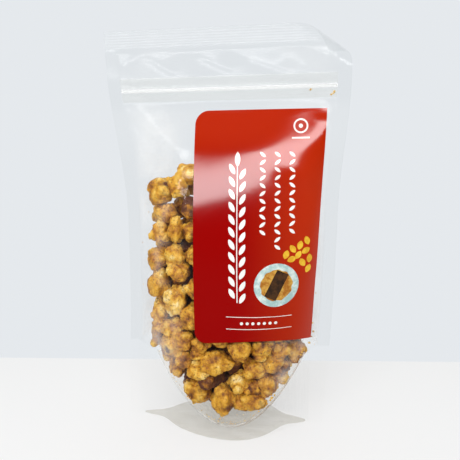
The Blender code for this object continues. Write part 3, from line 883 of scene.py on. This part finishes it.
# Crumbs that cling to the front film, in millimetres: (x, z) and radius
CRUMBS_MM = (
    (41.2, 174.4, 0.65), (51.1, 171.8, 0.60), (52.2, 172.4, 0.50), (52.9, 173.1, 0.65),
    (44.4, 58.5, 0.60), (45.1, 53.0, 0.65), (44.0, 50.5, 0.50), (43.0, 47.5, 0.75),
    (42.6, 43.7, 0.60), (41.5, 42.3, 0.65), (45.5, 106.8, 0.40), (46.1, 103.7, 0.35),
    (45.6, 74.4, 0.35), (44.1, 71.2, 0.45), (27.8, 23.1, 0.60), (26.3, 21.8, 0.80),
    (24.8, 21.6, 0.65), (25.3, 19.1, 0.55), (21.3, 17.3, 0.50), (23.8, 20.8, 0.60),
    (19.3, 15.5, 0.45), (-34.8, 33.0, 0.35), (-32.8, 33.1, 0.45), (-32.4, 30.3, 0.35),
    (-25.4, 21.4, 0.45), (-23.9, 20.7, 0.35), (-40.1, 115.9, 0.35), (-47.0, 99.4, 0.28),
    (-40.8, 92.7, 0.35), (-45.6, 76.8, 0.28),
)


film_tree = BVHTree.FromObject(film, bpy.context.evaluated_depsgraph_get())


def inside_film(x, z, radius, side):
    """Middle of a crumb that touches the film from inside; side is -1 for the front."""
    room = CRUMB_REACH * radius
    left, right = (float(edge) for edge in inner_edges(z))
    x = min(max(x, left + SIDE_ROOM), right - SIDE_ROOM)
    above_seal = max(z - room - SEAL_ROOM - SEAL_DIP, 0.0)
    if z < SEAL_TOP:
        reach = math.sqrt(above_seal / SEAL_RISE)
        x = min(max(x, SEAL_DIP_X - reach), SEAL_DIP_X + reach)
    hit, normal, _, _ = film_tree.ray_cast(Vector((x, MIDDLE_Y, z)), Vector((0.0, side, 0.0)))
    inward = normal if normal.y * side < 0.0 else -normal
    return hit + inward * (room + (ZIP_GAP if z > ZIP_LOW else CRUMB_GAP))


def add_crumb(place, radius, dice, detail=2):
    """An angular flake, its own little mesh."""
    bpy.ops.mesh.primitive_ico_sphere_add(subdivisions=detail, radius=radius)
    crumb = bpy.context.object
    for v in crumb.data.vertices:
        v.co *= dice.uniform(0.65, 1.25)
    turn = Matrix.Rotation(dice.uniform(0, math.tau), 4, Vector((dice.random(), 1.0, dice.random())))
    crumb.data.transform(Matrix.Translation(place) @ turn @ Matrix.Diagonal((1.0, 0.7, 0.8, 1.0)))
    return crumb


dice = random.Random(9)
flakes = []
for x_mm, z_mm, radius_mm in CRUMBS_MM:
    radius = radius_mm / 1000
    place = inside_film(x_mm / 1000, z_mm / 1000, radius, -1)
    flakes.append(add_crumb(place, radius, dice))
for _ in range(DUST_COUNT):
    x = SEAL_DIP_X + dice.gauss(0.0, 0.017)
    z = float(bottom_seal(x)) + 0.0006 + abs(dice.gauss(0.0, 0.0016))
    radius = dice.uniform(*DUST_RADIUS)
    side = dice.choice((-1, -1, -1, 1))
    flakes.append(add_crumb(inside_film(x, z, radius, side), radius, dice, detail=1))
bpy.ops.object.select_all(action="DESELECT")
for flake in flakes:
    flake.select_set(True)
bpy.context.view_layer.objects.active = flakes[0]
bpy.ops.object.join()
crumbs = bpy.context.object
crumbs.name = "crumbs"
tone = crumbs.data.attributes.new("shade", "FLOAT", "POINT")
tone.data.foreach_set("value", np.full(len(crumbs.data.vertices), 0.45, np.float32))
crumbs.data.materials.append(rice)
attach(crumbs, "root")


# ---- Painted shadow sheet ---------------------------------------------------------------------
# A thin grey-tinted sheet on the table between the front and the back skirt: painted shadow, the
# pouch's shade on the table inside its foot.  The gusset itself is the lower face of the film.
SHADOW_COLUMNS, SHADOW_ROWS = 80, 14
SHADOW_THICK, SHADOW_LIFT, SHADOW_GAP = 0.00008, 0.00025, 0.00040

bpy.ops.object.select_all(action="DESELECT")
bpy.ops.mesh.primitive_grid_add(x_subdivisions=SHADOW_COLUMNS, y_subdivisions=SHADOW_ROWS, size=1.0)
shadow_sheet = bpy.context.object
shadow_sheet.name = "painted_shadow_sheet"
points = np.zeros(3 * len(shadow_sheet.data.vertices))
shadow_sheet.data.vertices.foreach_get("co", points)
along, across, _ = points.reshape(-1, 3).T
left, right = (float(edge) for edge in inner_edges(0.0))
x = (left + right) / 2 + (right - left - 0.0060) * along
drawn_in = 1.0 - 0.40 * np.exp(-(((np.abs(2 * along) - 0.78) / 0.17) ** 2))
reach = np.maximum(half_depth(x, np.zeros_like(x)) * drawn_in - SHADOW_GAP, 0.00005)
y = MIDDLE_Y + 2 * across * reach
wave = 0.00008 * np.sin(900.0 * x) * np.cos(700.0 * y)
shadow_sheet.data.vertices.foreach_set("co", np.stack([x, y, SHADOW_LIFT + wave], -1).ravel())
thickening = shadow_sheet.modifiers.new("thickening", "SOLIDIFY")
thickening.thickness, thickening.offset = SHADOW_THICK, 0.0
bpy.ops.object.modifier_apply(modifier="thickening")
bpy.ops.object.shade_smooth_by_angle(angle=math.radians(50))

# Grey, lightly tinted film: painted shadow of the pouch on the table inside its foot.
painted_shadow_film = new_material("painted_shadow_film")
tree = painted_shadow_film.node_tree
place = add_node(tree, "ShaderNodeTexCoord").outputs["Object"]
streaks = add_node(tree, "ShaderNodeTexNoise",
                   {"Vector": add_node(tree, "ShaderNodeMapping",
                                       {"Vector": place, "Scale": (60.0, 260.0, 60.0)}).outputs[0],
                    "Scale": 1.0, "Detail": 3.0, "Roughness": 0.55}).outputs["Fac"]
tint = mix_colour(tree, ease(tree, streaks, 0.3, 0.7), (0.925, 0.918, 0.895, 1.0),
                  (0.955, 0.950, 0.935, 1.0))
through = add_node(tree, "ShaderNodeBsdfTransparent", {"Color": tint})
grey = add_node(tree, "ShaderNodeBsdfPrincipled",
                {"Base Color": (0.60, 0.58, 0.53, 1.0), "Roughness": 0.5,
                 "Specular IOR Level": 0.3})
surface = add_node(tree, "ShaderNodeMixShader",
                   {0: 0.08, 1: through.outputs[0], 2: grey.outputs[0]})
finish_material(tree, surface.outputs[0])
shadow_sheet.data.materials.append(painted_shadow_film)
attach(shadow_sheet, "root")


# ---- Bottom seal ------------------------------------------------------------------------------
# The curved heat seal that welds the gusset to the front and back films: a narrow pressed band,
# a little thicker and milkier than the film, with a fine bead of squeezed-out film along it.
SEAL_BAND, SEAL_BEAD, SEAL_BEAD_RAISE = 0.0011, 0.0005, 0.00028
SEAL_COLUMNS, SEAL_ROWS = 120, 10


def seal_band(side):
    """The band along the bottom seal on the front (-1) or the back (1)."""
    reach = math.sqrt((SEAL_TOP - SEAL_DIP) / SEAL_RISE)
    bpy.ops.object.select_all(action="DESELECT")
    bpy.ops.mesh.primitive_grid_add(x_subdivisions=SEAL_COLUMNS, y_subdivisions=SEAL_ROWS, size=1.0)
    band = bpy.context.object
    points = np.zeros(3 * len(band.data.vertices))
    band.data.vertices.foreach_get("co", points)
    along, across, _ = points.reshape(-1, 3).T
    x = SEAL_DIP_X + 2 * reach * along
    slope = 2 * SEAL_RISE * (x - SEAL_DIP_X) * (bottom_seal(x) < SEAL_TOP)
    square = 1.0 / np.sqrt(1.0 + slope**2)
    z = bottom_seal(x) + SEAL_BAND * across * square
    x = x - SEAL_BAND * across * slope * square
    bead = SEAL_BEAD_RAISE * np.exp(-(across * SEAL_BAND / (SEAL_BEAD / 2)) ** 2)
    y = MIDDLE_Y + side * (half_depth(x, z) + 0.00003 + bead)
    band.data.vertices.foreach_set("co", np.stack([x, y, z], -1).ravel())
    if side > 0:
        band.data.flip_normals()
    weld = band.modifiers.new("weld", "SOLIDIFY")
    weld.thickness, weld.offset = 0.0001, 0.0
    bpy.ops.object.modifier_apply(modifier="weld")
    return band


front_band, back_band = seal_band(-1), seal_band(1)
front_band.select_set(True)
bpy.context.view_layer.objects.active = front_band
bpy.ops.object.join()
bottom_weld = bpy.context.object
bottom_weld.name = "bottom_seal"
bpy.ops.object.shade_smooth_by_angle(angle=math.radians(50))

welded = new_material("welded_film")
tree = welded.node_tree
place = add_node(tree, "ShaderNodeTexCoord").outputs["Object"]
blotches = add_node(tree, "ShaderNodeTexNoise", {"Vector": place, "Scale": 420.0, "Detail": 3.0,
                                                 "Roughness": 0.6}).outputs["Fac"]
through = add_node(tree, "ShaderNodeBsdfTransparent", {"Color": (0.985, 0.985, 0.98, 1.0)})
gloss = add_node(tree, "ShaderNodeBsdfPrincipled",
                 {"Base Color": (0.86, 0.86, 0.84, 1.0), "Roughness": 0.22,
                  "Specular IOR Level": 0.9})
surface = add_node(tree, "ShaderNodeMixShader",
                   {0: maths(tree, "MULTIPLY", ease(tree, blotches, 0.35, 0.65), 0.22),
                    1: through.outputs[0], 2: gloss.outputs[0]})
finish_material(tree, surface.outputs[0])
bottom_weld.data.materials.append(welded)
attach(bottom_weld, "root")


# ---- Zip --------------------------------------------------------------------------------------
# Press-to-close zip: two extruded polyethylene strips welded inside the front and the back film,
# each with a rail that snaps into the other one's, and a fine guide rib along both edges.
ZIP_THICK, ZIP_RAIL_RAISE, ZIP_RAIL_HALF = 0.00022, 0.00026, 0.00045
ZIP_RIB_RAISE, ZIP_RIB_HALF = 0.00010, 0.00030
ZIP_COLUMNS = 64


def zip_strip(name, side):
    """A strip just inside the front (-1) or the back (1) film, its rail towards the other."""
    rail_shift = 0.00030 * side
    heights = np.concatenate([np.linspace(ZIP_LOW, ZIP_LOW + 0.0010, 7),
                              np.linspace(ZIP_RIDGE - 0.0022, ZIP_RIDGE + 0.0022, 25),
                              np.linspace(ZIP_HIGH - 0.0010, ZIP_HIGH, 7)])
    bpy.ops.object.select_all(action="DESELECT")
    bpy.ops.mesh.primitive_grid_add(x_subdivisions=ZIP_COLUMNS, y_subdivisions=len(heights) - 1,
                                    size=1.0)
    strip = bpy.context.object
    strip.name = name
    z = np.repeat(heights[:, None], ZIP_COLUMNS + 1, axis=1)
    left, right = inner_edges(z)
    x = left + 0.0004 + (right - left - 0.0008) * np.linspace(0.0, 1.0, ZIP_COLUMNS + 1)[None]
    rail = ZIP_RAIL_RAISE * smooth(1.6 - np.abs(z - ZIP_RIDGE - rail_shift) / ZIP_RAIL_HALF)
    ribs = ZIP_RIB_RAISE * sum(smooth(1.6 - np.abs(z - edge) / ZIP_RIB_HALF)
                               for edge in (ZIP_LOW + 0.0005, ZIP_HIGH - 0.0005))
    y = MIDDLE_Y + side * (half_depth(x, z) - 0.0004 - rail - ribs)
    strip.data.vertices.foreach_set("co", np.stack([x, y, z], -1).ravel())
    if side > 0:
        strip.data.flip_normals()
    wall = strip.modifiers.new("wall", "SOLIDIFY")
    wall.thickness, wall.offset = ZIP_THICK, 0.0
    bpy.ops.object.modifier_apply(modifier="wall")
    bpy.ops.object.shade_smooth_by_angle(angle=math.radians(50))
    return strip


zip_plastic = new_material("zip_plastic")
tree = zip_plastic.node_tree
place = add_node(tree, "ShaderNodeTexCoord").outputs["Object"]
height = add_node(tree, "ShaderNodeSeparateXYZ", {0: place}).outputs["Z"]
from_rail = maths(tree, "ABSOLUTE", maths(tree, "SUBTRACT", height, ZIP_RIDGE))
on_rail = maths(tree, "SUBTRACT", 1.0, ease(tree, from_rail, 0.0004, 0.0011))
streaks = add_node(tree, "ShaderNodeTexNoise",
                   {"Vector": add_node(tree, "ShaderNodeMapping",
                                       {"Vector": place, "Scale": (40.0, 40.0, 900.0)}).outputs[0],
                    "Scale": 1.0, "Detail": 2.0, "Roughness": 0.5}).outputs["Fac"]
share = maths(tree, "ADD", maths(tree, "MULTIPLY", on_rail, 0.20),
              maths(tree, "MULTIPLY", streaks, 0.04))
through = add_node(tree, "ShaderNodeBsdfTransparent", {"Color": (0.99, 0.99, 0.985, 1.0)})
plastic = add_node(tree, "ShaderNodeBsdfPrincipled",
                   {"Base Color": (0.96, 0.96, 0.96, 1.0), "Roughness": 0.45,
                    "Specular IOR Level": 0.15})
surface = add_node(tree, "ShaderNodeMixShader",
                   {0: share, 1: through.outputs[0], 2: plastic.outputs[0]})
finish_material(tree, surface.outputs[0])
for name, side in (("zip_front", -1), ("zip_back", 1)):
    strip = zip_strip(name, side)
    strip.data.materials.append(zip_plastic)
    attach(strip, "root")


# ---- Sticker ----------------------------------------------------------------------------------
# A printed, laminated paper label, stuck on the front film after filling.  Its left corners are
# rounded, and its cut right side is square.
STICKER_RIGHT_LOW = 0.0432 + MIDDLE_X
STICKER_ROUND_HIGH, STICKER_ROUND_LOW = 0.0066, 0.0052
STICKER_OFF, STICKER_THICK = 0.00015, 0.00015
STICKER_COLUMNS, STICKER_ROWS = 60, 96


def sticker_y(x, z):
    """Y of the front film where the sticker lies on it."""
    pulled = folds(x, z, FRONT_FOLDS_MM) * smooth((half_depth(x, z) - SEAL_HALF) / 0.0008)
    return MIDDLE_Y - half_depth(x, z) - pulled


def sticker_left(z):
    """X of the sticker's left edge, with its two rounded corners."""
    low = np.clip(STICKER_LOW + STICKER_ROUND_LOW - z, 0.0, STICKER_ROUND_LOW)
    high = np.clip(z - STICKER_HIGH + STICKER_ROUND_HIGH, 0.0, STICKER_ROUND_HIGH)
    return (STICKER_LEFT + STICKER_ROUND_LOW - np.sqrt(STICKER_ROUND_LOW**2 - low**2)
            + STICKER_ROUND_HIGH - np.sqrt(STICKER_ROUND_HIGH**2 - high**2))


bpy.ops.object.select_all(action="DESELECT")
bpy.ops.mesh.primitive_grid_add(x_subdivisions=STICKER_COLUMNS, y_subdivisions=STICKER_ROWS,
                                size=1.0)
sticker = bpy.context.object
sticker.name = "sticker"
points = np.zeros(3 * len(sticker.data.vertices))
sticker.data.vertices.foreach_get("co", points)
across, up = points.reshape(-1, 3)[:, 0] + 0.5, points.reshape(-1, 3)[:, 1] + 0.5
up = 0.5 - 0.5 * np.cos(math.pi * up)
z = STICKER_LOW + (STICKER_HIGH - STICKER_LOW) * up
left = sticker_left(z)
droop = (0.0016 * np.sin(math.pi * across) - 0.0026 * across**2) * (1.0 - up) ** 2
right = STICKER_RIGHT_LOW + (STICKER_RIGHT - STICKER_RIGHT_LOW) * up
x = left + (right - left) * across
z = z + droop
sticker.data.vertices.foreach_set(
    "co", np.stack([x, sticker_y(x, z) - STICKER_OFF, z], -1).ravel())
sticker.data.update()
thick = sticker.modifiers.new("paper", "SOLIDIFY")
thick.thickness, thick.offset = STICKER_THICK, 1.0
bpy.ops.object.modifier_apply(modifier="paper")
bpy.ops.object.shade_smooth_by_angle(angle=math.radians(50))

red_print_and_sheen = new_material("red_print_and_sheen")
tree = red_print_and_sheen.node_tree
place = add_node(tree, "ShaderNodeTexCoord").outputs["Object"]
axes = add_node(tree, "ShaderNodeSeparateXYZ", {0: place})
# The red is lighter towards the right edge and the top: painted sheen, a broad reflection laid into
# the print colour.
sheen_to_right = ease(tree, axes.outputs["X"], 0.004, 0.046)
sheen_to_top = ease(tree, axes.outputs["Z"], 0.125, 0.158)
deep = mix_colour(tree, sheen_to_right, (0.272, 0.0006, 0.0004, 1.0), (0.44, 0.026, 0.0050, 1.0))
full = mix_colour(tree, sheen_to_top, deep, (0.405, 0.0155, 0.0004, 1.0))
fibres = add_node(tree, "ShaderNodeTexNoise", {"Vector": place, "Scale": 900.0, "Detail": 3.0,
                                               "Roughness": 0.6}).outputs["Fac"]
bump = add_node(tree, "ShaderNodeBump", {"Height": fibres, "Strength": 0.05,
                                         "Distance": 0.0002})
ink = add_node(tree, "ShaderNodeBsdfPrincipled",
               {"Base Color": full, "Roughness": 0.60, "Specular IOR Level": 0.0,
                "Coat Weight": 1.0, "Coat Roughness": 0.11, "Coat IOR": 1.5,
                "Coat Normal": bump.outputs[0]})
finish_material(tree, ink.outputs[0])

paper_back = new_material("paper_back")
tree = paper_back.node_tree
place = add_node(tree, "ShaderNodeTexCoord").outputs["Object"]
mottle = add_node(tree, "ShaderNodeTexNoise", {"Vector": place, "Scale": 240.0, "Detail": 5.0,
                                               "Roughness": 0.65}).outputs["Fac"]
bare = add_node(tree, "ShaderNodeBsdfPrincipled",
                {"Base Color": mix_colour(tree, ease(tree, mottle, 0.35, 0.65),
                                          (0.78, 0.70, 0.67, 1.0), (0.85, 0.79, 0.76, 1.0)),
                 "Roughness": 0.75, "Specular IOR Level": 0.3})
finish_material(tree, bare.outputs[0])
sticker.data.materials.append(red_print_and_sheen)
sticker.data.materials.append(paper_back)
for face in sticker.data.polygons:
    face.material_index = 1 if face.normal.y > 0.5 else 0
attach(sticker, "root")
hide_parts("label")

# ---- Print on the sticker ---------------------------------------------------------------------
# The sticker's printed design: a white ear of rice, ruled lines and rows of small marks, and a
# round cracker with a dark band on a pale mat among golden grains.  It is ink, modelled as thin
# sheets on the paper.
INK_THICK, INK_OFF = 0.00003, 0.00003
EAR_X_MM, EAR_HIGH_MM, EAR_LOW_MM, EAR_PAIRS = 7.0, 142.0, 78.0, 11
MARK_COLUMNS_MM = ((18.8, 144.0, 108.0), (25.8, 144.0, 98.0), (32.7, 144.0, 108.0))
MARK_STEP_MM = 3.6


def ink_patch(columns, rows, place, layer=0):
    """A sheet of ink; place(u, v) gives x and z in millimetres for u and v from 0 to 1."""
    bpy.ops.object.select_all(action="DESELECT")
    bpy.ops.mesh.primitive_grid_add(x_subdivisions=columns, y_subdivisions=rows, size=1.0)
    patch = bpy.context.object
    points = np.zeros(3 * len(patch.data.vertices))
    patch.data.vertices.foreach_get("co", points)
    u, v, _ = points.reshape(-1, 3).T + 0.5
    x, z = (value / 1000 for value in place(u, v))
    y = sticker_y(x, z) - STICKER_OFF - STICKER_THICK - INK_OFF * (1 + 2 * layer)
    patch.data.vertices.foreach_set("co", np.stack([x, y, z], -1).ravel())
    return patch


def grain(x, z, length, width, turn):
    """A pointed grain of rice, its long side turned from upright by so many degrees."""
    sine, cosine = math.sin(math.radians(turn)), math.cos(math.radians(turn))

    def place(u, v):
        along = (u - 0.5) * length
        aside = (v - 0.5) * width * np.sin(math.pi * u) ** 0.7
        return x + along * sine + aside * cosine, z + along * cosine - aside * sine
    return ink_patch(10, 2, place)


def bar(x0, z0, x1, z1, width, layer=0):
    """A straight ruled line."""
    length = math.hypot(x1 - x0, z1 - z0)
    side_x, side_z = -(z1 - z0) / length * width, (x1 - x0) / length * width

    def place(u, v):
        return x0 + (x1 - x0) * u + side_x * (v - 0.5), z0 + (z1 - z0) * u + side_z * (v - 0.5)
    return ink_patch(max(int(length), 2), max(int(width), 1), place, layer)


def ring(x, z, inner, outer, waves=0.0, layer=0):
    """A ring, or a disc where inner is 0, with a wavy rim if asked."""
    def place(u, v):
        turn = math.tau * u
        rim = outer * (1.0 + waves * np.sin(9 * turn) + 0.6 * waves * np.sin(14 * turn + 1.0))
        radius = inner + (rim - inner) * v
        return x + radius * np.cos(turn), z + radius * np.sin(turn)
    return ink_patch(56, max(int(outer - inner), 1), place, layer)


def print_piece(name, patches, colour, second):
    """Joins patches of one ink, gives them its thickness and finishes them like the paper."""
    bpy.ops.object.select_all(action="DESELECT")
    for patch in patches:
        patch.select_set(True)
    bpy.context.view_layer.objects.active = patches[0]
    if len(patches) > 1:
        bpy.ops.object.join()
    piece = bpy.context.object
    piece.name = name
    bpy.ops.object.mode_set(mode="EDIT")
    bpy.ops.mesh.select_all(action="SELECT")
    bpy.ops.mesh.remove_doubles(threshold=2e-6)
    bpy.ops.mesh.normals_make_consistent(inside=False)
    bpy.ops.object.mode_set(mode="OBJECT")
    for face in piece.data.polygons:
        if face.normal.y > 0.0:
            face.flip()
    layer = piece.modifiers.new("layer", "SOLIDIFY")
    layer.thickness, layer.offset = INK_THICK, 1.0
    bpy.ops.object.modifier_apply(modifier="layer")
    ink = new_material(name + "_ink")
    tree = ink.node_tree
    place = add_node(tree, "ShaderNodeTexCoord").outputs["Object"]
    wash = add_node(tree, "ShaderNodeTexNoise", {"Vector": place, "Scale": 260.0, "Detail": 4.0,
                                                 "Roughness": 0.65}).outputs["Fac"]
    body = add_node(tree, "ShaderNodeBsdfPrincipled",
                    {"Base Color": mix_colour(tree, ease(tree, wash, 0.38, 0.62), colour, second),
                     "Roughness": 0.60, "Specular IOR Level": 0.0, "Coat Weight": 1.0,
                     "Coat Roughness": 0.11, "Coat IOR": 1.5})
    finish_material(tree, body.outputs[0])
    piece.data.materials.append(ink)
    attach(piece, "root")


white = [bar(EAR_X_MM, EAR_HIGH_MM - 3, EAR_X_MM, EAR_LOW_MM - 3, 0.45),
         grain(EAR_X_MM, EAR_HIGH_MM, 7.0, 2.6, 0.0)]
for pair in range(EAR_PAIRS):
    pair_z = EAR_HIGH_MM - 4.5 - (EAR_HIGH_MM - EAR_LOW_MM - 6.0) * pair / (EAR_PAIRS - 1)
    white += [grain(EAR_X_MM - 2.5, pair_z, 5.6, 2.3, -28.0),
              grain(EAR_X_MM + 2.5, pair_z - 2.4, 5.6, 2.3, 28.0)]
for column_x, column_high, column_low in MARK_COLUMNS_MM:
    marks = int((column_high - column_low) / MARK_STEP_MM) + 1
    for mark in range(marks):
        lean = 50.0 if mark % 2 else -50.0
        white.append(grain(column_x, column_high - MARK_STEP_MM * mark, 3.6, 1.5, lean))
for line_z in (68.1, 62.0):
    white.append(bar(1.7, line_z, 32.9, line_z - 1.5, 0.28))
for dot in range(7):
    white.append(ring(9.0 + 2.7 * dot, 64.6 - 0.13 * dot, 0.0, 0.75))
white += [ring(36.6, 157.2, 2.7, 3.5), ring(36.6, 157.2, 0.0, 1.0),
          bar(32.4, 151.6, 40.8, 151.6, 0.7)]
print_piece("print_white", white, (0.86, 0.84, 0.80, 1.0), (0.80, 0.77, 0.73, 1.0))

print_piece("print_mat", [ring(25.5, 82.5, 0.0, 10.6)],
            (0.66, 0.74, 0.70, 1.0), (0.34, 0.50, 0.49, 1.0))
print_piece("print_cracker", [ring(25.5, 82.5, 0.0, 7.6, waves=0.03, layer=1)],
            (0.62, 0.36, 0.07, 1.0), (0.36, 0.13, 0.02, 1.0))
print_piece("print_band", [bar(22.4, 76.3, 28.6, 88.7, 6.0, layer=2)],
            (0.030, 0.018, 0.012, 1.0), (0.075, 0.035, 0.015, 1.0))
gold = []
for number, (x, z, turn) in enumerate((
        (30.0, 97.0, 20), (33.2, 99.5, -35), (36.6, 101.0, 15), (40.0, 103.0, -20),
        (32.6, 94.6, 70), (35.8, 96.4, 35), (39.4, 98.2, 60), (41.2, 94.2, 5),
        (37.8, 92.6, -30), (40.6, 89.2, 25))):
    gold.append(grain(x, z, 4.4, 2.9 - 0.2 * (number % 2), turn))
print_piece("print_grains", gold, (0.80, 0.52, 0.045, 1.0), (0.66, 0.36, 0.025, 1.0))
